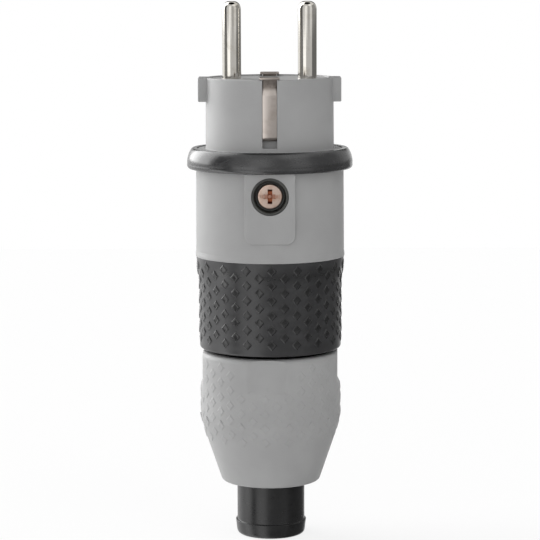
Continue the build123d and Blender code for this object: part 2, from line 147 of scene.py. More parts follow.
class Graph:
    """The node tree of a material or a world, with the few ways of adding to it."""

    def __init__(self, tree: bpy.types.NodeTree) -> None:
        """Empties the tree and keeps it.

        Args:
            tree: The node tree to build in.
        """
        self.tree = tree
        tree.nodes.clear()

    def node(
        self,
        kind: str,
        settings: dict[str, object] | None = None,
        inputs: Sockets | None = None,
        output: int | str = 0,
    ) -> Value:
        """Adds a node.

        Args:
            kind: The node's type.
            settings: Its properties, set before its sockets.
            inputs: Values or links of its sockets, by index or name.
            output: Which output to return.

        Returns:
            The chosen output, ready for further maths.
        """
        made = self.tree.nodes.new(kind)
        for key, value in (settings or {}).items():
            setattr(made, key, value)
        for key, value in (inputs or {}).items():
            if isinstance(value, Value):
                self.tree.links.new(value.socket, made.inputs[key])
            else:
                made.inputs[key].default_value = value
        return Value(self, made.outputs[output])

    def place(self) -> Value:
        """Object coordinates in metres."""
        return self.node("ShaderNodeTexCoord", output="Object")

    def parts(self, vector: Value) -> tuple[Value, Value, Value]:
        """X, Y and Z of a vector."""
        first = self.node("ShaderNodeSeparateXYZ", inputs={0: vector})
        made = first.socket.node
        return first, Value(self, made.outputs[1]), Value(self, made.outputs[2])

    def stretched(self, vector: Value, scale: Vector) -> Value:
        """A vector with each part scaled."""
        return self.node(
            "ShaderNodeVectorMath", {"operation": "MULTIPLY"}, {0: vector, 1: tuple(scale)}
        )

    def noise(self, vector: Value, grain: float, detail: float = 3.0, roughness: float = 0.5) -> Value:
        """Noise whose patches are about a grain, in metres, across.

        Args:
            vector: Coordinates.
            grain: Size of a patch in metres.
            detail: The node's detail.
            roughness: The node's roughness.

        Returns:
            The noise.
        """
        return self.node(
            "ShaderNodeTexNoise",
            {"noise_dimensions": "3D"},
            {"Vector": vector, "Scale": 1 / grain, "Detail": detail, "Roughness": roughness},
        )

    def blend(self, share: Number, first: object, second: object) -> Value:
        """Colour between two colours."""
        return self.node(
            "ShaderNodeMix", {"data_type": "RGBA"}, {0: share, 6: first, 7: second}, output=2
        )

    def bump(self, height: Value, strength: float, distance: float) -> Value:
        """Normal pushed by a height.

        Args:
            height: The height.
            strength: The node's strength.
            distance: The height's reach in metres.

        Returns:
            The normal.
        """
        return self.node(
            "ShaderNodeBump",
            inputs={"Strength": strength, "Distance": distance, "Height": height},
            output="Normal",
        )

    def mix(self, share: Value, first: Value, second: Value) -> Value:
        """Shader between two shaders."""
        return self.node("ShaderNodeMixShader", inputs={0: share, 1: first, 2: second})

    def ray(self, kind: str) -> Value:
        """1 for the rays of one kind."""
        return self.node("ShaderNodeLightPath", output=f"Is {kind} Ray")

    def surface(self, shader: Value, kind: str = "ShaderNodeOutputMaterial") -> None:
        """Ends the graph of a material or a world."""
        made = self.tree.nodes.new(kind)
        self.tree.links.new(shader.socket, made.inputs["Surface"])


def colour(red: int, green: int | None = None, blue: int | None = None) -> Rgba:
    """Linear colour of a display colour.

    Args:
        red: Red from 0 to 255.
        green: Green, as red where it isn't given.
        blue: Blue, as red where it isn't given.

    Returns:
        Its parts and an alpha of 1.
    """
    parts = []
    for part in (red, red if green is None else green, red if blue is None else blue):
        share = part / 255
        parts.append(share / 12.92 if share <= 0.04045 else ((share + 0.055) / 1.055) ** 2.4)
    return (parts[0], parts[1], parts[2], 1.0)



@dataclass(frozen=True)
class Finish:
    """A material with one Principled shader."""

    name: str

    def inputs(self, graph: Graph, place: Value) -> Sockets:
        """Values of the shader's sockets, from object coordinates.

        Args:
            graph: The material's graph.
            place: Object coordinates.

        Returns:
            Values and links, by socket.
        """
        raise NotImplementedError

    def build(self) -> Material:
        """Makes the material.

        Returns:
            The material.
        """
        material = bpy.data.materials.new(self.name)
        material.use_nodes = True
        graph = Graph(material.node_tree)
        sockets = self.inputs(graph, graph.place())
        graph.surface(graph.node("ShaderNodeBsdfPrincipled", inputs=sockets))
        return material


@dataclass(frozen=True)
class MouldedPlastic(Finish):
    """Matt moulded plastic with a fine spark-eroded grain and a faint mottle."""

    shade: Rgba
    tint: Rgba
    roughness: float = 0.5
    grain: float = 0.22 * MM
    depth: float = 0.02 * MM
    specular: float = 0.4

    def inputs(self, graph: Graph, place: Value) -> Sockets:
        """Values of the shader's sockets.

        Args:
            graph: The material's graph.
            place: Object coordinates.

        Returns:
            Values and links, by socket.
        """
        cloud = graph.noise(place, 9 * MM, 2.0)
        fine = graph.noise(place, self.grain, 4.0, 0.6)
        specks = graph.noise(place, 3 * self.grain, 2.0).rising(0.62, 0.72)
        share = cloud.rising(0.3, 0.7) * 0.6 + fine * 0.25 + specks * 0.15
        base = graph.blend(share, self.shade, self.tint)
        return {
            "Base Color": base,
            "Roughness": self.roughness - 0.05 + fine * 0.1,
            "Specular IOR Level": self.specular,
            "Normal": graph.bump(fine, 0.35, self.depth),
        }


@dataclass(frozen=True)
class Rubber(Finish):
    """Black rubber: satin, slightly cloudy, with a fine skin."""

    shade: Rgba
    bloom: Rgba
    roughness: float = 0.36
    grain: float = 0.3 * MM
    depth: float = 0.015 * MM
    specular: float = 0.5
    # painted shade colour for the diamonds' tops
    painted_top_shade: Rgba = (0.004, 0.004, 0.004, 1.0)
    wall: float = 0.0
    flare_start: float = 0.0
    flare: float = 0.0

    def crown(self, graph: Graph, place: Value) -> Value:
        """How far a point is on a diamond's top, which is given painted shade.

        Args:
            graph: The material's graph.
            place: Object coordinates.

        Returns:
            1 on the tops, 0 on the wall between them and where there is no wall.
        """
        x, y, z = graph.parts(place)
        above = z - self.flare_start
        wall = above.rising(-0.01 * MM, 0.01 * MM) * above * self.flare + self.wall
        proud = (x * x + y * y) ** 0.5 - wall
        return proud.rising(0.02 * MM, 0.12 * MM) * (1.0 if self.wall else 0.0)

    def inputs(self, graph: Graph, place: Value) -> Sockets:
        """Values of the shader's sockets.

        Args:
            graph: The material's graph.
            place: Object coordinates.

        Returns:
            Values and links, by socket.
        """
        fine = graph.noise(place, self.grain, 4.0, 0.6)
        smear = graph.noise(graph.stretched(place, Vector((1, 1, 2.5))), 5 * MM, 4.0, 0.6)
        crown = self.crown(graph, place)
        base = graph.blend(smear.rising(0.35, 0.75) * 0.7 + fine * 0.3, self.shade, self.bloom)
        # Painted shade: the diamonds' tops are coloured near-black, standing in for how their smoother
        # faces look under this light; the lower roughness there is real.
        base = graph.blend(crown * 0.75, base, self.painted_top_shade)
        return {
            "Base Color": base,
            "Roughness": self.roughness + smear.rising(0.3, 0.7) * 0.1 - crown * 0.12,
            "Specular IOR Level": self.specular,
            "Normal": graph.bump(fine, 0.4, self.depth),
        }


@dataclass(frozen=True)
class PlatedMetal(Finish):
    """Plated metal with fine marks along or across the piece."""

    shade: Rgba
    tarnish: Rgba
    roughness: float = 0.14
    marks: Vector = field(default_factory=lambda: Vector((1, 1, 18)))
    grain: float = 1.6 * MM
    depth: float = 0.004 * MM

    def inputs(self, graph: Graph, place: Value) -> Sockets:
        """Values of the shader's sockets.

        Args:
            graph: The material's graph.
            place: Object coordinates.

        Returns:
            Values and links, by socket.
        """
        lines = graph.noise(graph.stretched(place, self.marks), self.grain, 5.0, 0.7)
        stain = graph.noise(place, 3 * MM, 3.0).rising(0.5, 0.75)
        base = graph.blend(stain * 0.5 + lines * 0.25, self.shade, self.tarnish)
        return {
            "Base Color": base,
            "Metallic": 1.0,
            "Roughness": self.roughness + lines * 0.08 + stain * 0.05,
            "Normal": graph.bump(lines, 0.3, self.depth),
        }


@dataclass(frozen=True)
class SpringSheet(Finish):
    """Spring bronze drawn along its length, with painted shade where it dips behind the face's edge,
    fainter on the bracket above the face.
    """

    shade: Rgba
    tarnish: Rgba
    # painted shade colour for where the strip dips behind the face's edge
    painted_shade: Rgba
    face: float
    dip_low: float = 2.9 * MM
    dip_high: float = 1.7 * MM
    roughness: float = 0.26

    def inputs(self, graph: Graph, place: Value) -> Sockets:
        """Values of the shader's sockets.

        Args:
            graph: The material's graph.
            place: Object coordinates.

        Returns:
            Values and links, by socket.
        """
        z = graph.parts(place)[2]
        lines = graph.noise(graph.stretched(place, Vector((16, 16, 1))), 2.4 * MM, 5.0, 0.7)
        stain = graph.noise(place, 2.2 * MM, 3.0).rising(0.45, 0.75)
        base = graph.blend(stain * 0.5 + lines * 0.3, self.shade, self.tarnish)
        # Painted shade: the strip is coloured dark where it dips behind the face's edge, and partly dark on
        # the bracket above the face, with a noisy edge.
        dip_shade = z.rising(self.face - self.dip_low, self.face - self.dip_high)
        dip_shade = dip_shade * (1 - z.rising(self.face, self.face + 0.15 * MM) * 0.65)
        shade_mottle = graph.noise(place, 0.8 * MM, 3.0).rising(0.3, 0.7)
        base = graph.blend(dip_shade * (0.8 + shade_mottle * 0.2), base, self.painted_shade)
        return {
            "Base Color": base,
            "Metallic": 1.0,
            "Roughness": self.roughness + lines * 0.1 + dip_shade * 0.1,
            "Normal": graph.bump(lines, 0.35, 0.006 * MM),
        }


@dataclass(frozen=True)
class ScrewMetal(Finish):
    """Coppery passivated steel, with painted shade in the cross recess in the middle of a head that faces
    -Y.
    """

    shade: Rgba
    tarnish: Rgba
    # painted shade colour for the cross recess
    recess: Rgba
    axis_height: float
    face: float
    recess_radius: float = 1.9 * MM
    roughness: float = 0.3

    def inputs(self, graph: Graph, place: Value) -> Sockets:
        """Values of the shader's sockets.

        Args:
            graph: The material's graph.
            place: Object coordinates.

        Returns:
            Values and links, by socket.
        """
        x, y, z = graph.parts(place)
        rise = z - self.axis_height
        spread = (x * x + rise * rise) ** 0.5
        rings = graph.noise(place, 0.35 * MM, 3.0)
        stain = graph.noise(place, 1.3 * MM, 3.0).rising(0.4, 0.7)
        # Painted shade: below the head's face and near the axis, the recess is coloured dark.
        recess_shade_share = (y - self.face).rising(0.08 * MM, 0.35 * MM)
        inside = 1 - spread.rising(self.recess_radius, self.recess_radius * 1.2)
        base = graph.blend(stain * 0.6 + rings * 0.2, self.shade, self.tarnish)
        base = graph.blend(recess_shade_share * inside, base, self.recess)
        return {
            "Base Color": base,
            "Metallic": 1.0,
            "Roughness": self.roughness + rings * 0.15,
            "Normal": graph.bump(rings, 0.3, 0.01 * MM),
        }


# Modelling steps


def rounded(corners: Iterable[Corner], steps: int = 6) -> list[Vector]:
    """Outline with its corners rounded.

    Args:
        corners: (radius, height) or (radius, height, rounding) of each corner, in metres.
        steps: Edges in each rounding.

    Returns:
        The points in the XZ plane, in order.
    """
    listed = [tuple(corner) for corner in corners]
    points: list[Vector] = []
    for here, corner in enumerate(listed):
        point = Vector((corner[0], 0.0, corner[1]))
        rounding = corner[2] if len(corner) > 2 else 0.0
        if not rounding:
            points.append(point)
            continue
        before = Vector((listed[here - 1][0], 0.0, listed[here - 1][1]))
        following = listed[(here + 1) % len(listed)]
        after = Vector((following[0], 0.0, following[1]))
        back = (before - point).normalized()
        ahead = (after - point).normalized()
        half = back.angle(ahead) / 2
        centre = point + (back + ahead).normalized() * (rounding / sin(half))
        first = point + back * (rounding / tan(half)) - centre
        sweep = pi - 2 * half
        side = first.cross(point - centre).normalized()
        for step in range(steps + 1):
            points.append(centre + Matrix.Rotation(sweep * step / steps, 3, side) @ first)
    return points


def arc(first: Vector, through: Vector, last: Vector, steps: int) -> list[Vector]:
    """Points of the arc through three points in the XZ plane.

    Args:
        first: Where the arc starts.
        through: A point on the way.
        last: Where it ends.
        steps: Edges in the arc.

    Returns:
        The points, with both ends.
    """
    one, two = through - first, last - first
    cross = one.cross(two)
    reach = one.length_squared * two.cross(cross) + two.length_squared * cross.cross(one)
    centre = first + reach / (2 * cross.length_squared)
    sweep = (first - centre).angle(last - centre)
    side = (first - centre).cross(last - centre).normalized()
    spoke = first - centre
    return [centre + Matrix.Rotation(sweep * step / steps, 3, side) @ spoke for step in range(steps + 1)]


def wide(half: float) -> Span:
    """Range that reaches as far to either side of 0."""
    return (-half, half)


EdgeTest = Callable[[Vector, Vector], bool]


class Bench:
    """The modelling steps that every sub-assembly uses."""

    @staticmethod
    def clear() -> None:
        """Leaves object mode with nothing selected."""
        if bpy.context.object and bpy.context.object.mode != "OBJECT":
            bpy.ops.object.mode_set(mode="OBJECT")
        bpy.ops.object.select_all(action="DESELECT")

    @staticmethod
    def pick(piece: Piece) -> None:
        """Selects one piece and makes it active."""
        Bench.clear()
        piece.select_set(True)
        bpy.context.view_layer.objects.active = piece

    @staticmethod
    def edit() -> None:
        """Goes into edit mode with all selected."""
        bpy.ops.object.mode_set(mode="EDIT")
        bpy.ops.mesh.select_mode(type="VERT")
        bpy.ops.mesh.select_all(action="SELECT")

    @staticmethod
    def close_up(threshold: float = 1e-6) -> None:
        """Merges doubles, turns faces outward and leaves edit mode.

        Args:
            threshold: How close corners are merged, in metres.
        """
        bpy.ops.mesh.select_all(action="SELECT")
        bpy.ops.mesh.remove_doubles(threshold=threshold)
        bpy.ops.mesh.normals_make_consistent(inside=False)
        bpy.ops.object.mode_set(mode="OBJECT")

    @staticmethod
    def named(name: str) -> Piece:
        """The active object, with its new name.

        Args:
            name: The piece's name.

        Returns:
            The object.
        """
        piece = bpy.context.object
        piece.name = name
        piece.data.name = name
        return piece

    @staticmethod
    def turned(
        name: str, corners: Iterable[Corner], turns: int = 192, steps: int = 6
    ) -> Piece:
        """Spins a closed outline about Z.

        Args:
            name: The piece's name.
            corners: The outline's corners, as rounded() takes them.
            turns: Steps of the spin.
            steps: Edges in each rounding.

        Returns:
            The closed solid.
        """
        outline = rounded(corners, steps)
        Bench.clear()
        bpy.ops.mesh.primitive_plane_add(size=MM)
        piece = Bench.named(name)
        Bench.edit()
        bpy.ops.mesh.merge(type="CENTER")
        bpy.ops.transform.translate(value=tuple(outline[0]))
        on_axis = outline[0].x < 1e-9 and outline[-1].x < 1e-9
        for here, point in enumerate(outline[:-1] if on_axis else outline):
            ahead = outline[(here + 1) % len(outline)]
            bpy.ops.mesh.extrude_region_move(TRANSFORM_OT_translate={"value": tuple(ahead - point)})
        bpy.ops.mesh.select_all(action="SELECT")
        bpy.ops.mesh.spin(steps=turns, angle=tau, center=(0, 0, 0), axis=(0, 0, 1))
        Bench.close_up()
        return piece

    @staticmethod
    def block(name: str, x: Span, y: Span, z: Span) -> Piece:
        """Box over three ranges, either end first, with its place in its mesh.

        Args:
            name: The piece's name.
            x: Its ends along X.
            y: Its ends along Y.
            z: Its ends along Z.

        Returns:
            The box.
        """
        low, high = (Vector(ends) for ends in zip(*map(sorted, (x, y, z))))
        Bench.clear()
        bpy.ops.mesh.primitive_cube_add(size=1, location=tuple((low + high) / 2))
        piece = Bench.named(name)
        piece.scale = tuple(high - low)
        Bench.settle(piece)
        return piece

    @staticmethod
    def settle(piece: Piece) -> None:
        """Puts the piece's place, turn and size into its mesh."""
        Bench.pick(piece)
        bpy.ops.object.transform_apply(location=True, rotation=True, scale=True)

    @staticmethod
    def finish(piece: Piece, kind: str, **settings: object) -> None:
        """Adds a modifier and applies it.

        Args:
            piece: The piece to work on.
            kind: The modifier's type.
            settings: The modifier's properties.
        """
        Bench.pick(piece)
        modifier = piece.modifiers.new(kind.title(), kind)
        for key, value in settings.items():
            setattr(modifier, key, value)
        bpy.ops.object.modifier_apply(modifier=modifier.name)

    @staticmethod
    def soften(piece: Piece, width: float, angle: float) -> None:
        """Bevels, by a width, all edges sharper than an angle in degrees."""
        Bench.finish(
            piece, "BEVEL", width=width, segments=2, limit_method="ANGLE", angle_limit=radians(angle))

    @staticmethod
    def combine(piece: Piece, other: Piece, operation: str) -> None:
        """Joins to, or cuts from, a piece another one, which is used up.

        Args:
            piece: The piece to work on.
            other: The other piece.
            operation: UNION or DIFFERENCE.
        """
        Bench.finish(piece, "BOOLEAN", operation=operation, solver="EXACT", object=other)
        mesh = other.data
        bpy.data.objects.remove(other)
        bpy.data.meshes.remove(mesh)

    @staticmethod
    def cut(piece: Piece, x: Span, y: Span, z: Span) -> None:
        """Cuts a box out of a piece."""
        Bench.combine(piece, Bench.block("cut", x, y, z), "DIFFERENCE")

    @staticmethod
    def drill(
        piece: Piece, radius: float, length: float, middle: Corner, level: bool = False
    ) -> None:
        """Drills a round hole.

        Args:
            piece: The piece to drill.
            radius: The hole's radius.
            length: The drill's length.
            middle: The drill's middle.
            level: Whether it lies along Y rather than Z.
        """
        Bench.clear()
        bpy.ops.mesh.primitive_cylinder_add(
            vertices=96 if level else 64, radius=radius, depth=length, location=middle,
            rotation=(radians(90) if level else 0, 0, 0))
        tool = Bench.named("drill")
        Bench.settle(tool)
        Bench.combine(piece, tool, "DIFFERENCE")

    @staticmethod
    def bevel_edges(piece: Piece, chosen: EdgeTest, width: float, segments: int = 4) -> None:
        """Bevels the edges that pass a test.

        Args:
            piece: The piece to work on.
            chosen: Called with an edge's two ends, and true for an edge to bevel.
            width: The bevel's width in metres.
            segments: Its number of faces.
        """
        Bench.pick(piece)
        bpy.ops.object.mode_set(mode="EDIT")
        bpy.ops.mesh.select_mode(type="EDGE")
        bpy.ops.mesh.select_all(action="DESELECT")
        bpy.ops.object.mode_set(mode="OBJECT")
        points = piece.data.vertices
        for edge in piece.data.edges:
            edge.select = chosen(points[edge.vertices[0]].co, points[edge.vertices[1]].co)
        bpy.ops.object.mode_set(mode="EDIT")
        bpy.ops.mesh.bevel(offset=width, segments=segments, affect="EDGES", clamp_overlap=True)
        bpy.ops.object.mode_set(mode="OBJECT")

    @staticmethod
    def joined(pieces: Sequence[Piece]) -> Piece:
        """Joins pieces into the first of them.

        Args:
            pieces: The pieces, of which the first stays.

        Returns:
            The joined piece.
        """
        Bench.clear()
        for piece in pieces:
            piece.select_set(True)
        bpy.context.view_layer.objects.active = pieces[0]
        bpy.ops.object.join()
        return bpy.context.object

    @staticmethod
    def copies(model: Piece, places: Iterable[Matrix]) -> list[Piece]:
        """Copies of a model, each with its own mesh set at its place.

        Args:
            model: The piece to copy.
            places: Where the copies go.

        Returns:
            The copies.
        """
        made = []
        for place in places:
            copy = model.copy()
            copy.data = model.data.copy()
            copy.data.transform(place)
            bpy.context.collection.objects.link(copy)
            made.append(copy)
        return made

    @staticmethod
    def dress(
        piece: Piece,
        material: Material,
        slot: Slot,
        body: Body,
        nodes: Sequence[str],
        angle: float = 32.0,
    ) -> None:
        """Finishes a piece and ties it to the frame.

        Args:
            piece: The finished mesh.
            material: Its material.
            slot: Not used.
            body: The body that it rides on.
            nodes: The CAD nodes that it stands for.
            angle: Edges sharper than this, in degrees, stay sharp.
        """
        Bench.pick(piece)
        bpy.ops.object.shade_smooth_by_angle(angle=radians(angle))
        piece.data.materials.clear()
        piece.data.materials.append(material)
        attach(piece, body.value)
        if nodes:
            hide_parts(*nodes)
        log.info("%s: %d faces for %s", piece.name, len(piece.data.polygons), ", ".join(nodes))


@dataclass
class Levels:
    """Heights of the stack, read from the frame."""

    nut: float = field(default_factory=lambda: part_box("gland_nut")[0].z)
    neck: float = field(default_factory=lambda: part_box("gland_nut")[1].z)
    grip: float = field(default_factory=lambda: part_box("grip_sleeve")[0].z)
    shell: float = field(default_factory=lambda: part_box("grip_sleeve")[1].z)
    ring: float = field(default_factory=lambda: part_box("seal_ring")[0].z)
    rim: float = field(default_factory=lambda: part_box("seal_ring")[1].z)
    flange: float = field(default_factory=lambda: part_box("housing_shell")[1].z)
    face: float = field(default_factory=lambda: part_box("contact_carrier")[1].z)
    tip: float = field(default_factory=lambda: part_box("line_pin")[1].z)
    neck_end: float = field(default_factory=lambda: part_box("housing_shell")[0].z)


@dataclass
class Assembly:
    """A sub-assembly's sizes, on the heights that the frame gives."""

    levels: Levels

    def build(self, material: Material) -> None:
        """Makes and dresses the pieces.

        Args:
            material: What they are dressed in.
        """
        raise NotImplementedError


@dataclass
class Studs:
    """Staggered columns of bevelled diamonds on a round surface."""

    name: str
    width: float = 2.6 * MM
    height: float = 2.9 * MM
    relief: float = 0.24 * MM
    bevel: float = 0.36 * MM
    dish: float = 0.07 * MM
    root: float = 0.3 * MM
    columns: int = 36
    turn: float = 1.3
    pitch: float = 3.72 * MM

    def model(self) -> Piece:
        """One diamond, lying across the X axis with its face towards +X.

        Returns:
            The diamond.
        """
        Bench.clear()
        bpy.ops.mesh.primitive_circle_add(
            vertices=4, radius=1.0, fill_type="NGON", rotation=(0, radians(90), 0))
        piece = Bench.named(self.name)
        piece.scale = (self.height / 2, self.width / 2, 1.0)
        Bench.settle(piece)
        piece.data.transform(Matrix.Translation((-self.root, 0, 0)))
        Bench.pick(piece)
        Bench.edit()
        rise = self.root + self.relief
        bpy.ops.mesh.extrude_region_move(TRANSFORM_OT_translate={"value": (self.root, 0, 0)})
        bpy.ops.mesh.extrude_region_move(TRANSFORM_OT_translate={"value": (rise - self.root, 0, 0)})
        share = 1 - self.bevel / (self.width / 2)
        bpy.ops.transform.resize(value=(1, share, share))
        bpy.ops.mesh.inset(thickness=self.bevel * 0.5, depth=-self.dish)
        Bench.close_up()
        Bench.soften(piece, 0.07 * MM, 20)
        return piece

    def starts(self) -> Iterable[Span]:
        """Azimuth and staggering rise of each column."""
        for column in range(self.columns):
            yield self.turn + column * 360 / self.columns, (column % 2) * self.pitch / 2

    def onto(self, piece: Piece, places: Iterable[Matrix]) -> Piece:
        """Joins a diamond at each place to a piece.

        Args:
            piece: The piece to work on.
            places: Where the copies go.

        Returns:
            The joined piece.
        """
        model = self.model()
        studs = Bench.copies(model, places)
        bpy.data.objects.remove(model)
        return Bench.joined([piece, *studs])

    def place(self, azimuth: float, radius: float, height: float, lean: float) -> Matrix:
        """Where one diamond goes.

        Args:
            azimuth: Degrees from the front, rising to the right.
            radius: The surface's radius there.
            height: The diamond's height above the foot.
            lean: How far the surface faces down, in degrees.

        Returns:
            The placing matrix.
        """
        turn = Matrix.Rotation(radians(azimuth - 90), 4, "Z")
        return turn @ Matrix.Translation((radius, 0, height)) @ Matrix.Rotation(radians(lean), 4, "Y")


@dataclass
class SealRing(Assembly):
    """Bulged rubber ring between the carrier's flange and the housing."""

    inner: float = 17.65 * MM
    seat: float = 18.35 * MM
    top: float = 19.8 * MM
    middle: float = 20.62 * MM
    widest: float = 20.88 * MM
    low: float = 20.8 * MM
    foot: float = 20.45 * MM
    middle_drop: float = 1.85 * MM
    widest_drop: float = 4.0 * MM
    low_drop: float = 4.75 * MM
    edge: float = 0.2 * MM

    def build(self, material: Material) -> None:
        """Makes and dresses the ring.

        Args:
            material: What it is dressed in.
        """
        z = self.levels
        top = Vector((self.top, 0, z.rim - self.edge))
        widest = Vector((self.widest, 0, z.rim - self.widest_drop))
        foot = Vector((self.foot, 0, z.ring + self.edge / 2))
        bulge = arc(top, Vector((self.middle, 0, z.rim - self.middle_drop)), widest, 14)
        curl = arc(widest, Vector((self.low, 0, z.rim - self.low_drop)), foot, 6)
        outside = [(point.x, point.z) for point in reversed(bulge + curl[1:])]
        ring = Bench.turned("seal_ring_skin", [
            (self.inner, z.ring), (self.foot - 2 * self.edge, z.ring), *outside,
            (self.top - 1.5 * self.edge, z.rim), (self.seat, z.rim), (self.seat, z.flange),
            (self.inner, z.flange),
        ])
        Bench.dress(ring, material, Slot.RING, Body.PLUG, ["seal_ring"])


@dataclass
class Housing(Assembly):
    """Housing shell with its flat pad, and the holes for the locking screw's bush and shank."""

    foot_radius: float = 18.75 * MM
    top_radius: float = 18.63 * MM
    bead: float = 18.88 * MM
    seat: float = 16.6 * MM
    spigot: float = 17.6 * MM
    bore: float = 16.0 * MM
    inner: float = 14.4 * MM
    throat: float = 8.0 * MM
    neck: float = 13.2 * MM
    neck_bore: float = 10.4 * MM
    pad_width: float = 12.5 * MM
    pad_corner: float = 2.2 * MM
    pad_foot: float = 4.8 * MM
    pad_root: float = 0.8 * MM
    pad_edge: float = 0.22 * MM
    boss_half: float = 6 * MM
    boss_root: float = 0.5 * MM
    boss_inner: float = 14.2 * MM
    boss_height: float = 12.0 * MM
    hole: float = 4.65 * MM
    screw_hole: float = 1.8 * MM
    screw_hole_end: float = 14 * MM

    def build(self, material: Material) -> None:
        """Makes and dresses the shell.

        Args:
            material: What it is dressed in.
        """
        z = self.levels
        shell = Bench.turned("housing_skin", [
            (self.neck, z.neck_end, 0.4 * MM), (self.neck, z.grip), (self.seat, z.grip),
            (self.seat, z.shell),
            (self.bead, z.shell, 0.1 * MM), (self.bead, z.shell + 0.5 * MM, 0.4 * MM),
            (self.foot_radius, z.shell + 1.5 * MM, 0.8 * MM),
            (self.top_radius, z.ring), (self.spigot, z.ring), (self.spigot, z.flange),
            (self.bore, z.flange), (self.bore, z.shell + 4.5 * MM), (self.inner, z.shell + 2.9 * MM),
            (self.inner, z.grip + 9 * MM), (self.throat, z.grip + 3 * MM),
            (self.throat, z.grip - 2 * MM), (self.neck_bore, z.grip - 2 * MM),
            (self.neck_bore, z.neck_end),
        ])
        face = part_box("housing_shell")[0].y
        low = z.shell + self.pad_foot
        root = -self.bore - self.pad_root
        pad = Bench.block("pad", wide(self.pad_width / 2), (face, root), (low, z.ring))
        Bench.bevel_edges(
            pad,
            lambda a, b: abs(a.x - b.x) < MM and abs(a.z - low) < 0.1 * MM and abs(b.z - low) < 0.1 * MM,
            self.pad_corner,
            8,
        )
        front = face + 0.01 * MM
        top = z.ring - 0.1 * MM
        Bench.bevel_edges(
            pad, lambda a, b: max(a.y, b.y) < front and min(a.z, b.z) <= top, self.pad_edge, 3
        )
        Bench.combine(shell, pad, "UNION")
        boss = Bench.block(
            "boss", wide(self.boss_half), (-self.bore - self.boss_root, -self.boss_inner),
            (z.ring - self.boss_height, z.flange))
        Bench.combine(shell, boss, "UNION")
        height = (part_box("screw_bush")[0].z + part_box("screw_bush")[1].z) / 2
        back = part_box("screw_bush")[1].y
        start = face - MM
        for radius, end in ((self.hole, back), (self.screw_hole, -self.screw_hole_end)):
            Bench.drill(shell, radius, end - start, (0, (start + end) / 2, height), level=True)
        Bench.dress(shell, material, Slot.HOUSING, Body.PLUG, ["housing_shell"], angle=25)


@dataclass
class Lock:
    """Rubber bush and cross-recessed screw on the housing's front."""

    outer: float = 4.6 * MM
    bore: float = 3.97 * MM
    shank: float = 1.75 * MM
    floor: float = 0.8 * MM
    cross: float = 4.0 * MM
    arm: float = 1.15 * MM
    slot: float = 5.2 * MM
    slot_width: float = 0.75 * MM
    boss: float = 0.55 * MM

    def __post_init__(self) -> None:
        """Reads the places of the bush and the screw from the frame."""
        low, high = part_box("screw_bush")
        self.front, self.back = low.y, high.y
        self.height = (low.z + high.z) / 2
        self.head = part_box("lock_screw")[1].x
        self.head_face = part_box("lock_screw")[0].y
        self.screw_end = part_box("lock_screw")[1].y

    def lying(self, name: str, corners: Sequence[Corner], turns: int = 96) -> Piece:
        """Turns a piece from (radius, depth) corners, with depths along +Y from the frame's middle.

        Args:
            name: The piece's name.
            corners: The outline's corners, as rounded() takes them.
            turns: Steps of the spin.

        Returns:
            The piece.
        """
        piece = Bench.turned(name, corners, turns)
        turn = Matrix.Rotation(radians(-90), 4, "X")
        piece.data.transform(Matrix.Translation((0, 0, self.height)) @ turn)
        return piece

    def build(self, rubber: Material, metal: Material) -> None:
        """Makes and dresses the bush and the screw.

        Args:
            rubber: The bush's finish.
            metal: The screw's finish.
        """
        inside = self.back - self.floor
        hole = self.shank + 0.05 * MM
        bush = self.lying("bush_skin", [
            (self.outer, self.front, 0.12 * MM), (self.outer, self.back), (hole, self.back),
            (hole, inside), (self.bore - 0.15 * MM, inside, 0.3 * MM),
            (self.bore, self.front, 0.25 * MM),
        ])
        Bench.dress(bush, rubber, Slot.RUBBER, Body.PLUG, ["screw_bush"])
        screw = self.lying("lock_screw_skin", [
            (0, self.head_face), (self.head, self.head_face, 0.35 * MM), (self.head, inside),
            (self.shank, inside), (self.shank, self.screw_end, 0.2 * MM), (0, self.screw_end),
        ])
        self.cut_arm(screw, 0, self.slot, self.slot_width, 0.2 * MM, 0.9)
        self.cut_arm(screw, 0, self.cross, self.arm, 0.25 * MM, 0.62)
        self.cut_arm(screw, 90, self.cross, self.arm, 0.9 * MM, 0.62)
        for turn in (45, 135):
            self.cut_arm(screw, turn, self.cross * 0.78, 0.22 * MM, 0.14 * MM, 1.0)
        boss = self.lying("boss", [
            (0, self.head_face + 0.25 * MM), (self.boss, self.head_face + 0.25 * MM, 0.2 * MM),
            (self.boss, inside - 0.2 * MM), (0, inside - 0.2 * MM),
        ], 32)
        Bench.combine(screw, boss, "UNION")
        Bench.dress(screw, metal, Slot.LOCK, Body.PLUG, ["lock_screw"])

    def cut_arm(
        self, screw: Piece, turn: float, span: float, width: float, depth: float, taper: float
    ) -> None:
        """Cuts one arm of the cross, narrower towards its floor.

        Args:
            screw: The screw.
            turn: The arm's turn in degrees.
            span: Its length.
            width: Its width.
            depth: Its depth below the head's face.
            taper: Its length at the floor, as a share of the whole.
        """
        middle = self.height
        arm = Bench.block(
            "arm", wide(span / 2), (self.head_face - 0.3 * MM, self.head_face + depth),
            (middle - width / 2, middle + width / 2))
        for point in arm.data.vertices:
            if point.co.y > self.head_face:
                point.co.x *= taper
        about = Matrix.Rotation(radians(turn), 4, "Y")
        arm.data.transform(Matrix.Translation((0, 0, middle)) @ about @ Matrix.Translation((0, 0, -middle)))
        Bench.combine(screw, arm, "DIFFERENCE")


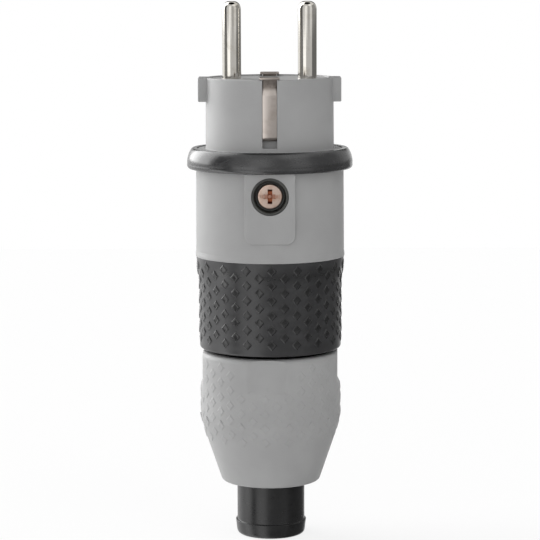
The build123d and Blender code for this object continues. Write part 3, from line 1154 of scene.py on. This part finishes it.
@dataclass
class Grip:
    """Soft sleeve with staggered diamonds, and the ring in the gap below it."""

    levels: Levels
    studs: Studs = field(default_factory=lambda: Studs("grip_diamond"))
    inner: float = 16.65 * MM
    radius: float = 17.95 * MM
    waist: float = 18.4 * MM
    top: float = 18.74 * MM
    taper: float = 6.3 * MM
    waist_drop: float = 3.4 * MM
    gap_bore: float = 13.25 * MM
    first: float = 3.0 * MM

    def surface(self, height: float) -> tuple[float, float]:
        """Radius and lean in degrees at a height.

        Args:
            height: Height above the foot.

        Returns:
            The radius, and the lean in degrees.
        """
        z = self.levels
        stations = [
            (z.grip, self.radius), (z.shell - self.taper, self.radius),
            (z.shell - self.waist_drop, self.waist), (z.shell, self.top),
        ]
        for (low, low_radius), (high, high_radius) in zip(stations, stations[1:]):
            if height <= high:
                break
        share = (height - low) / (high - low)
        swell = high_radius - low_radius
        return low_radius + share * swell, degrees(atan2(swell, high - low))

    def places(self) -> list[Matrix]:
        """Where the diamonds go.

        Returns:
            The matrix of each.
        """
        z = self.levels
        found = []
        for azimuth, rise in self.studs.starts():
            height = z.grip + self.first + rise
            while height + self.studs.height / 2 < z.shell:
                radius, lean = self.surface(height)
                found.append(self.studs.place(azimuth, radius, height, lean))
                height += self.studs.pitch
        return found

    def build(self, material: Material, rubber: Material) -> None:
        """Makes and dresses the sleeve and the gap's ring.

        Args:
            material: The sleeve's finish.
            rubber: The ring's finish, near-black and barely glossy as painted shade for the gap.
        """
        z = self.levels
        sleeve = Bench.turned("grip_skin", [
            (self.inner, z.grip), (self.radius, z.grip, 0.7 * MM),
            (self.radius, z.shell - self.taper, 4 * MM), (self.waist, z.shell - self.waist_drop, 4 * MM),
            (self.top, z.shell, 0.12 * MM), (self.inner, z.shell),
        ])
        sleeve = self.studs.onto(sleeve, self.places())
        Bench.dress(sleeve, material, Slot.GRIP, Body.PLUG, ["grip_sleeve"])
        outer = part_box("neck_ring")[1].x
        ring = Bench.turned("neck_ring_skin", [
            (self.gap_bore, z.neck), (outer, z.neck, 0.15 * MM), (outer, z.grip, 0.15 * MM),
            (self.gap_bore, z.grip),
        ])
        Bench.dress(ring, rubber, Slot.RUBBER, Body.PLUG, ["neck_ring"])


@dataclass
class GlandNut(Assembly):
    """Nut with smooth flats, faint diamonds and a cone."""

    studs: Studs = field(
        default_factory=lambda: Studs(
            "nut_diamond", relief=0.13 * MM, bevel=0.4 * MM, dish=0.03 * MM, turn=5.3)
    )
    radius: float = 17.8 * MM
    flat: float = 17.05 * MM
    smooth_half: float = 25.0
    flat_drop: float = 6.95 * MM
    flat_slope: float = 1.6 * MM
    flat_turn: float = -2.4
    flat_half: float = 9 * MM
    smooth_drop: float = 2.6 * MM
    top_band: float = 2.4 * MM
    shoulder: float = 2.7 * MM
    cone_top: float = 16.6 * MM
    cone_foot: float = 12.4 * MM
    cone_radius: float = 16.66 * MM
    foot: float = 12.45 * MM
    exit: float = 9.02 * MM
    bore: float = 13.5 * MM
    chamber: float = 11.7 * MM
    lip: float = 4.4 * MM
    first_row: float = 43.4 * MM
    last_row: float = 26.4 * MM

    def surface(self, height: float) -> tuple[float, float]:
        """Radius and lean in degrees at a height.

        Args:
            height: Height above the foot.

        Returns:
            The radius, and the lean in degrees.
        """
        belt = self.levels.nut + self.cone_top
        if height >= belt:
            return self.radius, 0.0
        low = self.levels.nut + self.cone_foot
        share = (height - low) / (belt - low)
        lean = degrees(atan2(self.radius - self.cone_radius, belt - low))
        return self.cone_radius + share * (self.radius - self.cone_radius), lean

    def places(self) -> list[Matrix]:
        """Where the diamonds go: everywhere but round the flats.

        Returns:
            The matrix of each.
        """
        found = []
        neck = self.levels.neck
        for azimuth, rise in self.studs.starts():
            off_flat = abs((azimuth - self.flat_turn + 45) % 90 - 45)
            height = self.first_row + rise
            while height > self.last_row:
                smooth = off_flat < self.smooth_half and height > neck - self.flat_drop - self.smooth_drop
                if not smooth and height < neck - self.top_band:
                    radius, lean = self.surface(height)
                    found.append(self.studs.place(azimuth, radius, height, lean))
                height -= self.studs.pitch
        return found

    def build(self, material: Material) -> None:
        """Makes and dresses the nut.

        Args:
            material: What it is dressed in.
        """
        z = self.levels
        nut = Bench.turned("gland_nut_skin", [
            (self.exit, z.nut, 0.3 * MM), (self.foot, z.nut, 1.0 * MM),
            (self.cone_radius, z.nut + self.cone_foot, 2 * MM),
            (self.radius, z.nut + self.cone_top, 3 * MM), (self.radius, z.neck, 1.3 * MM),
            (self.bore, z.neck, 0.2 * MM),
            (self.bore, z.neck_end - self.shoulder), (self.chamber, z.neck_end - self.shoulder),
            (self.chamber, z.nut + self.lip), (self.exit, z.nut + self.lip),
        ])
        for index in range(4):
            self.cut_flat(nut, index * 90 + self.flat_turn)
        nut = self.studs.onto(nut, self.places())
        Bench.dress(nut, material, Slot.NUT, Body.NUT, ["gland_nut"], angle=28)

    def cut_flat(self, nut: Piece, turn: float) -> None:
        """Cuts one flat from the top edge, with a coned end.

        Args:
            nut: The nut.
            turn: The flat's turn in degrees.
        """
        z = self.levels
        low = z.neck - self.flat_drop - self.flat_slope
        core = Bench.turned("core", [
            (0, low - MM), (self.radius, low - MM), (self.radius, low), (self.flat, low + self.flat_slope),
            (0, low + self.flat_slope),
        ], 180)
        cutter = Bench.block("flat", wide(self.flat_half), (-20 * MM, -self.flat), (low, z.neck + MM))
        Bench.combine(cutter, core, "DIFFERENCE")
        cutter.data.transform(Matrix.Rotation(radians(turn), 4, "Z"))
        Bench.combine(nut, cutter, "DIFFERENCE")


@dataclass
class CableSleeve(Assembly):
    """Rubber sleeve at the tail."""

    radius: float = 8.62 * MM
    rim: float = 9.03 * MM
    foot: float = 8.6 * MM
    lip: float = 3.65 * MM
    bore: float = 5.2 * MM
    flange: float = 11.4 * MM

    def build(self, material: Material) -> None:
        """Makes and dresses the sleeve.

        Args:
            material: What it is dressed in.
        """
        z = self.levels
        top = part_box("cable_sleeve")[1].z
        sleeve = Bench.turned("cable_sleeve_skin", [
            (self.bore, 0, 0.5 * MM), (self.foot, 0, 1.1 * MM), (self.rim, self.lip, 0.1 * MM),
            (self.radius, self.lip + 0.15 * MM, 0.1 * MM), (self.radius, z.nut),
            (self.radius, top - 3 * MM),
            (self.flange, top - 3 * MM, 0.2 * MM), (self.flange, top, 0.2 * MM), (self.bore, top),
        ])
        Bench.dress(sleeve, material, Slot.RUBBER, Body.SLEEVE, ["cable_sleeve"])


@dataclass
class Carrier(Assembly):
    """Contact carrier with its lugs, slots and recessed face."""

    radius: float = 16.2 * MM
    foot: float = 16.32 * MM
    flange: float = 18.3 * MM
    plug: float = 15.95 * MM
    lug_reach: float = 17.95 * MM
    lug_half: float = 4.0 * MM
    lug_height: float = 6.0 * MM
    lug_edge: float = 0.25 * MM
    guide_half: float = 2.6 * MM
    guide_depth: float = 3.2 * MM
    slot_half: float = 1.84 * MM
    slot_floor: float = 14.13 * MM
    slot_length: float = 16.8 * MM
    rim: float = 1.0 * MM
    recess: float = 0.35 * MM
    slot_end: float = 18 * MM
    slit_half: float = 1.75 * MM
    slit: Span = (13.03 * MM, 13.73 * MM)
    slit_depth: float = 2 * MM
    pin_x: float = 9.5 * MM
    pin_hole: float = 2.75 * MM
    earth_hole: float = 2.95 * MM
    earth_y: float = 10 * MM
    skirt_wall: Span = (14.0 * MM, 15.6 * MM)
    skirt_half: float = 6.3 * MM
    skirt_back: float = 3.7 * MM
    clear: float = 17 * MM
    leg_half: float = 5.95 * MM
    leg_y: Span = (-13.9 * MM, -8.2 * MM)
    leg_low: float = 82.2 * MM
    pocket_half: float = 3.55 * MM
    pocket_y: Span = (-12.9 * MM, -10.1 * MM)
    pocket_z: Span = (81 * MM, 92.15 * MM)
    channel_half: float = 2.55 * MM
    channel_depth: float = 1.2 * MM

    def build(self, material: Material) -> None:
        """Makes and dresses the carrier.

        Args:
            material: What it is dressed in.
        """
        z = self.levels
        base = z.rim - 1.1 * MM
        flange_top = z.rim - 0.15 * MM
        lip = self.radius - self.rim
        body = Bench.turned("carrier_skin", [
            (0, base), (self.plug, base), (self.plug, z.flange), (self.flange, z.flange),
            (self.flange, flange_top, 0.35 * MM), (self.foot, flange_top, 0.15 * MM),
            (self.radius, z.face, 0.35 * MM), (lip, z.face, 0.1 * MM),
            (lip, z.face - self.recess, 0.1 * MM),
            (0, z.face - self.recess),
        ], steps=4)
        reach = self.lug_reach
        for side in (-1, 1):
            span = (side * reach, side * (lip + 0.2 * MM))
            lug = Bench.block("lug", span, wide(self.lug_half), (z.face - self.lug_height, z.face))
            edge, top = reach - 0.1 * MM, z.face - 0.1 * MM
            Bench.bevel_edges(
                lug,
                lambda a, b: min(abs(a.x), abs(b.x)) > edge
                or (min(a.z, b.z) > top and abs(a.y - b.y) < MM),
                self.lug_edge,
            )
            Bench.combine(body, lug, "UNION")
            guide = (side * (reach - self.guide_depth), side * (reach + MM))
            Bench.cut(body, guide, wide(self.guide_half), (flange_top, z.face + MM))
            self.cut_slot(body, side)
            Bench.drill(body, self.pin_hole, 40 * MM, (side * self.pin_x, 0, base + 15 * MM))
        Bench.drill(body, self.earth_hole, 40 * MM, (0, self.earth_y, base + 15 * MM))
        body = Bench.joined([body, *self.skirt(base)])
        Bench.dress(body, material, Slot.CARRIER, Body.PLUG, ["contact_carrier"], angle=25)

    def cut_slot(self, body: Piece, side: int) -> None:
        """Cuts one earth spring's slot and its slit.

        Args:
            body: The carrier.
            side: -1 at the front, 1 at the rear.
        """
        z = self.levels
        slot = (side * self.slot_floor, side * self.slot_end)
        Bench.cut(body, wide(self.slot_half), slot, (z.face - self.slot_length, z.face + MM))
        slit = (side * self.slit[0], side * self.slit[1])
        Bench.cut(body, wide(self.slit_half), slit, (z.rim - self.slit_depth, z.face + MM))

    def skirt(self, base: float) -> list[Piece]:
        """The half-open wall and the nut's leg under the base.

        Args:
            base: Height of the carrier's underside.

        Returns:
            The wall and the leg.
        """
        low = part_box("contact_carrier")[0].z
        inner, outer = self.skirt_wall
        channel = base - self.channel_depth
        wall = Bench.turned("skirt", [(inner, low), (outer, low), (outer, base), (inner, base)])
        Bench.cut(wall, wide(self.skirt_half), (-self.clear, 0), (low - MM, base + MM))
        Bench.cut(wall, wide(self.clear), (self.skirt_back, self.clear), (low - MM, channel))
        leg = Bench.block("leg", wide(self.leg_half), self.leg_y, (self.leg_low, base))
        Bench.cut(leg, wide(self.pocket_half), self.pocket_y, self.pocket_z)
        Bench.cut(leg, wide(self.channel_half), (-self.clear, 0), (channel, base + MM))
        return [wall, leg]


@dataclass
class Contacts:
    """Pins and earth springs."""

    levels: Levels
    pin_x: float = 9.5 * MM
    radius: float = 2.4 * MM
    root: float = 2.7 * MM
    barrel: float = 3.7 * MM
    wire: float = 1.6 * MM
    wire_depth: float = 10 * MM
    root_drop: float = 0.35 * MM
    tip_rounding: float = 1.9 * MM
    strip_spread: float = 1.045
    strip_inner: float = 14.5 * MM
    strip_straight: float = 10 * MM
    strip_reach: float = 0.85 * MM

    def pins(self, material: Material) -> None:
        """Makes and dresses the two pins.

        Args:
            material: What it is dressed in.
        """
        z = self.levels
        base = z.rim - 1.1 * MM
        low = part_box("line_pin")[0].z
        floor, root_top = low + self.wire_depth, z.face - self.root_drop
        for side, node in ((-1, "neutral_pin"), (1, "line_pin")):
            pin = Bench.turned(f"{node}_skin", [
                (0, floor), (self.wire, floor), (self.wire, low), (self.barrel, low, 0.4 * MM),
                (self.barrel, base, 0.4 * MM), (self.root, base), (self.root, root_top, 0.1 * MM),
                (self.radius, root_top), (self.radius, z.tip, self.tip_rounding), (0, z.tip),
            ], 96, steps=12)
            pin.data.transform(Matrix.Translation((side * self.pin_x, 0, 0)))
            Bench.dress(pin, material, Slot.PIN, Body.PLUG, [node])

    def springs(self, material: Material) -> None:
        """Makes and dresses the front and rear earth springs.

        Args:
            material: What it is dressed in.
        """
        bent = self.levels.face - self.strip_straight
        for side, node in ((-1, "front_earth_spring"), (1, "rear_earth_spring")):
            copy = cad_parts[node].copy()
            copy.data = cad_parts[node].data.copy()
            copy.parent = None
            bpy.context.collection.objects.link(copy)
            for key in list(copy.keys()):
                del copy[key]
            copy.name = f"{node}_skin"
            copy.data.name = copy.name
            Bench.pick(copy)
            bpy.ops.object.mode_set(mode="EDIT")
            Bench.close_up(1e-5)
            for point in copy.data.vertices:
                point.co.x *= self.strip_spread
                if abs(point.co.y) > self.strip_inner and point.co.z < bent:
                    point.co.z -= self.strip_reach
            Bench.soften(copy, 0.06 * MM, 40)
            Bench.dress(copy, material, Slot.SPRING, Body.PLUG, [node])


@dataclass(frozen=True)
class Panel:
    """Softbox between two azimuths in degrees, 0 at the front and rising to the right."""

    start: float
    end: float
    level: float


@dataclass
class Studio:
    """White floor in a room of softboxes. Limits of height are parts of a unit ray's Z."""

    floor_size: float = 1.2
    high: tuple[Panel, ...] = (
        Panel(-184, -150, 1.0), Panel(-150, -80, 3.2), Panel(-80, 20, 0.85), Panel(20, 70, 1.4),
        Panel(70, 184, 1.0),
    )
    upper: tuple[Panel, ...] = (
        Panel(-150, -120, 5.8), Panel(-120, -92, 4.0), Panel(-92, -60, 0.12),
        Panel(-60, -30, 0.81), Panel(-30, 0, 1.32), Panel(0, 30, 0.6),
        Panel(30, 60, 1.0), Panel(60, 120, 0.42), Panel(120, 150, 0.64),
    )
    lower: tuple[Panel, ...] = (
        Panel(-184, -150, 1.0), Panel(-150, -97, 1.2), Panel(-97, -52, 0.28), Panel(-52, -16, 1.75),
        Panel(-16, 58, 0.72), Panel(58, 150, 0.2), Panel(150, 184, 1.0),
    )
    low: tuple[Panel, ...] = (Panel(-97, -70, 2.2), Panel(-10, 52, -0.35))
    horizon: Span = (0.0, 0.025)
    upper_top: Span = (0.61, 0.67)
    high_top: Span = (0.88, 0.93)
    low_top: Span = (-0.15, -0.1)
    backdrop: Span = (145, 155)
    backdrop_top: Span = (0.16, 0.24)

    def floor(self) -> None:
        """Makes the floor, white to the camera but for the shadow, and clear to glossy rays."""
        Bench.clear()
        bpy.ops.mesh.primitive_plane_add(size=self.floor_size, location=(0, 0.0, -0.02 * MM))
        floor = Bench.named("studio_floor")
        Bench.settle(floor)
        material = bpy.data.materials.new("studio_floor")
        material.use_nodes = True
        graph = Graph(material.node_tree)
        diffuse = graph.node("ShaderNodeBsdfDiffuse", inputs={"Color": (0.86, 0.86, 0.86, 1)})
        glow = graph.node("ShaderNodeEmission", inputs={"Color": (1, 1, 1, 1), "Strength": 1.0})
        seen = graph.mix(graph.ray("Camera") * 0.82, diffuse, glow)
        graph.surface(graph.mix(graph.ray("Glossy"), seen, graph.node("ShaderNodeBsdfTransparent")))
        floor.data.materials.append(material)

    def room(self) -> None:
        """World: white to the camera, and rows of softboxes to everything else."""
        world = bpy.data.worlds.new("studio_room")
        bpy.context.scene.world = world
        world.use_nodes = True
        graph = Graph(world.node_tree)
        x, y, z = graph.parts(graph.node("ShaderNodeTexCoord", output="Generated"))
        azimuth = graph.node("ShaderNodeMath", {"operation": "ARCTAN2"}, {0: x, 1: y * -1})
        turn = azimuth * (180 / pi)
        behind = turn.size().rising(*self.backdrop) * (1 - z.rising(*self.backdrop_top))
        above, over = z.rising(*self.horizon), z.rising(*self.upper_top)
        level = above * (1 - over) * self.lit(turn, self.upper, 6)
        level = level + (1 - above) * self.lit(turn, self.lower, 4)
        level = level + (1 - z.rising(*self.low_top)) * self.lit(turn, self.low, 8)
        level = level + above * behind
        level = level + over * (1 - z.rising(*self.high_top)) * self.lit(turn, self.high, 8)
        white = {"Color": (1, 1, 1, 1)}
        room = graph.node("ShaderNodeBackground", inputs={**white, "Strength": level})
        seen = graph.node("ShaderNodeBackground", inputs={**white, "Strength": 1.0})
        graph.surface(graph.mix(graph.ray("Camera"), room, seen), "ShaderNodeOutputWorld")

    @staticmethod
    def lit(turn: Value, panels: Sequence[Panel], soft: float) -> Value:
        """Light of a row of panels.

        Args:
            turn: Azimuth in degrees, 0 at the front.
            panels: The row's panels.
            soft: How wide their edges are, in degrees.

        Returns:
            Their light at that azimuth.
        """
        total: Number = 0.0
        for panel in panels:
            total = turn.between(panel.start + soft / 2, panel.end - soft / 2, soft) * panel.level + total
        return total

    def build(self) -> None:
        """Makes the whole studio."""
        self.floor()
        self.room()
        log.info("studio: floor and room")


@dataclass
class Viewpoint:
    """Camera at the photograph's place."""

    distance: float = 573 * MM
    above_tip: float = 8 * MM
    pitch: float = 7.554
    roll: float = -0.19
    aside: float = -0.05 * MM
    lens: float = 151.5

    def build(self, levels: Levels) -> None:
        """Makes the camera.

        Args:
            levels: The stack's heights.
        """
        data = bpy.data.cameras.new("camera")
        data.lens = self.lens
        data.sensor_width = 36
        data.clip_start = 0.01
        camera = bpy.data.objects.new("camera", data)
        camera.location = (self.aside, -self.distance, levels.tip + self.above_tip)
        tilt = Matrix.Rotation(radians(90 - self.pitch), 4, "X")
        camera.rotation_euler = (tilt @ Matrix.Rotation(radians(self.roll), 4, "Z")).to_euler()
        bpy.context.collection.objects.link(camera)
        bpy.context.scene.camera = camera
        log.info("camera: %.0f mm away", self.distance / MM)


def dress_inner(material: dict[str, Material], nodes: dict[str, str]) -> None:
    """Gives CAD nodes that stay their materials.

    Args:
        material: Materials by name.
        nodes: The material's name for each node.
    """
    for node, finish in nodes.items():
        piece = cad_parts[node]
        piece.data.materials.clear()
        piece.data.materials.append(material[finish])
        log.info("%s: dressed in %s", node, finish)


def main() -> None:
    """Builds the plug's sub-assemblies in order."""
    logging.basicConfig(level=logging.INFO, format="%(message)s")
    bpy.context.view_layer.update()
    bpy.context.scene.view_settings.view_transform = "Standard"
    levels = Levels()
    lock = Lock()
    viewpoint = Viewpoint()
    viewpoint.build(levels)
    Studio().build()

    finishes: list[Finish] = [
        MouldedPlastic("carrier_plastic", colour(153), colour(161)),
        MouldedPlastic("housing_plastic", colour(153), colour(160)),
        MouldedPlastic("nut_plastic", colour(154), colour(162)),
        MouldedPlastic("inner_plastic", colour(60, 60, 62), colour(72, 72, 74)),
        MouldedPlastic("gland_plastic", colour(205, 203, 195), colour(215, 213, 205), 0.45),
        Rubber("ring_rubber", colour(34, 34, 35), colour(46, 46, 47), 0.2, specular=0.75),
        Rubber("black_rubber", colour(14, 14, 15), colour(22, 22, 23), 0.26),
        # the grip's diamond tops get the painted top shade
        Rubber(
            "grip_rubber", colour(40, 40, 41), colour(52, 52, 53), 0.3, wall=Grip.radius,
            flare_start=levels.shell - Grip.taper, flare=(Grip.top - Grip.radius) / Grip.taper),
        Rubber("bush_rubber", colour(50, 51, 49), colour(66, 67, 63), 0.3),
        # painted shade: the gap's ring is coloured near-black and barely glossy to stand for the shade in
        # the gap
        Rubber("painted_gap_shade", colour(6), colour(10), 0.9, specular=0.05),
        PlatedMetal("nickel", colour(205, 202, 196), colour(178, 172, 160), 0.05),
        # the third colour is painted shade for the spring strip's dip
        SpringSheet(
            "spring_sheet", colour(192, 184, 178), colour(166, 155, 146), colour(118, 110, 104),
            levels.face),
        PlatedMetal("brass", colour(214, 186, 120), colour(180, 150, 92), 0.25),
        PlatedMetal("zinc_steel", colour(196, 194, 186), colour(168, 164, 150), 0.28),
        # the third colour is painted shade for the screw's cross recess
        ScrewMetal(
            "copper_screw", colour(208, 188, 176), colour(190, 158, 140), colour(150, 88, 62),
            lock.height, lock.head_face),
    ]
    made = {finish.name: finish.build() for finish in finishes}

    Carrier(levels).build(made["carrier_plastic"])
    contacts = Contacts(levels)
    contacts.pins(made["nickel"])
    contacts.springs(made["spring_sheet"])
    SealRing(levels).build(made["ring_rubber"])
    Housing(levels).build(made["housing_plastic"])
    lock.build(made["bush_rubber"], made["copper_screw"])
    Grip(levels).build(made["grip_rubber"], made["painted_gap_shade"])
    GlandNut(levels).build(made["nut_plastic"])
    CableSleeve(levels).build(made["black_rubber"])
    dress_inner(made, {
        "earth_terminal": "brass", "earth_bar": "brass", "earth_receptacle": "spring_sheet",
        "terminal_screws": "zinc_steel", "plate_screws": "zinc_steel", "lock_nut": "zinc_steel",
        "rear_plate": "inner_plastic", "wedge_ring": "gland_plastic", "clamp_cage": "gland_plastic",
        "cable_seal": "black_rubber",
    })


if __name__ == "__main__":
    main()
